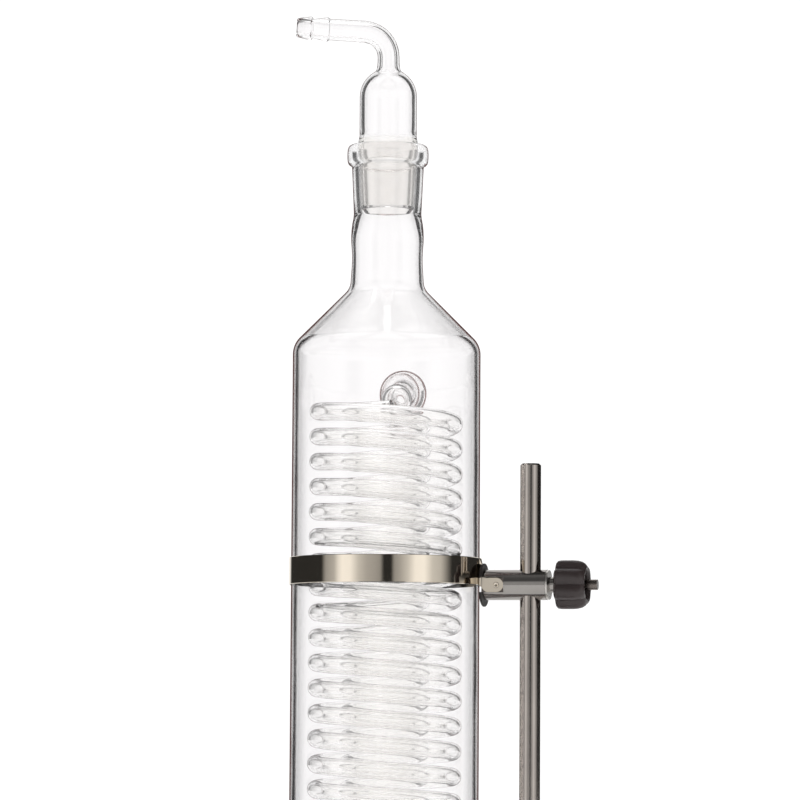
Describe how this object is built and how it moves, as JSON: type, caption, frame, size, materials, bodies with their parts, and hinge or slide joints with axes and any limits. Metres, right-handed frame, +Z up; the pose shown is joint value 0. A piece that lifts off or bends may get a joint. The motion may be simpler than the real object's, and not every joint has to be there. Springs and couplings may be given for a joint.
{
  "type": "coil condenser on retort stand",
  "caption": "Tall glass coil condenser with nested cooling coils and a barbed vent adapter on top, held by a band clamp on a rod stand.",
  "frame": {"origin": "centre of the base pad's underside, on the table", "axes": "+Z up, +Y towards the coolant nozzles at the back, +X towards the stand rod"},
  "size_m": [0.3, 0.1931, 0.8237],
  "materials": {
    "pad_rubber": "matte anti-slip sheet",
    "base_paint": "hammered grey enamel",
    "rod_steel": "drawn bright steel",
    "zinc_steel": "zinc plated",
    "sleeve_steel": "turned nickel plated steel",
    "bolt_steel": "bright steel",
    "black_disc": "black fibre",
    "band_steel": "polished spring steel",
    "liner_rubber": "thin black lining",
    "rivet_steel": "bright steel",
    "hub_steel": "turned steel",
    "knob_plastic": "moulded black-brown plastic",
    "jacket_glass": "clear borosilicate",
    "neck_glass": "clear borosilicate, ground inside",
    "cone_glass": "borosilicate with a ground cone",
    "coil_glass": "clear borosilicate tube",
    "nozzle_glass": "clear borosilicate",
    "ptfe": "translucent white",
    "adapter_glass": "clear borosilicate, ground cone"
  },
  "bodies": {
    "stand_base": {"base_pad": "pad_rubber", "base_plate": "base_paint"},
    "rod": {"stand_rod": "rod_steel", "rod_washer": "zinc_steel", "rod_nut": "zinc_steel"},
    "clamp": {"boss_sleeve": "sleeve_steel", "draw_bolt": "bolt_steel", "pad_disc": "black_disc", "clamp_band": "band_steel", "band_liner": "liner_rubber", "band_rivet": "rivet_steel"},
    "knob_washer": {"thrust_washer": "zinc_steel"},
    "clamp_knob": {"knob": "knob_plastic", "knob_hub": "hub_steel"},
    "condenser": {"jacket": "jacket_glass", "neck_socket": "neck_glass", "drip_cone": "cone_glass", "outer_coil": "coil_glass", "inner_coil": "coil_glass", "upper_manifold": "coil_glass", "lower_manifold": "coil_glass", "outlet_nozzle": "nozzle_glass", "inlet_nozzle": "nozzle_glass"},
    "sleeve": {"joint_sleeve": "ptfe"},
    "adapter": {"adapter_dome": "adapter_glass", "vent_nozzle": "adapter_glass"}
  },
  "joints": [
    {"name": "rod_turn", "type": "hinge", "parent": "stand_base", "child": "rod", "pos_m": [0.09, 0, 0.012], "axis": [0, 0, 1], "continuous": true},
    {"name": "clamp_height", "type": "slide", "parent": "rod", "child": "clamp", "axis": [0, 0, 1], "range_m": [-0.1, 0.045]},
    {"name": "knob_draw", "type": "slide", "parent": "clamp", "child": "knob_washer", "axis": [0.9703, -0.2419, 0], "range_m": [0, 0.002]},
    {"name": "knob_turn", "type": "hinge", "parent": "knob_washer", "child": "clamp_knob", "pos_m": [0.1096, -0.00489, 0.5515], "axis": [0.9703, -0.2419, 0], "range_deg": [0, 725]},
    {"name": "condenser_turn", "type": "hinge", "parent": "clamp", "child": "condenser", "pos_m": [0.0213, 0.01713, 0.558], "axis": [0, 0, 1], "range_deg": [-75, 90]},
    {"name": "adapter_lift", "type": "slide", "parent": "condenser", "child": "sleeve", "axis": [0, 0, 1], "range_m": [0, 0.045]},
    {"name": "adapter_swivel", "type": "hinge", "parent": "sleeve", "child": "adapter", "pos_m": [0.0213, 0.01713, 0.766], "axis": [0, 0, 1], "continuous": true}
  ],
  "couplings": [
    {"joint": "knob_turn", "follows": "knob_draw", "rad_per_m": 6283.2}
  ]
}
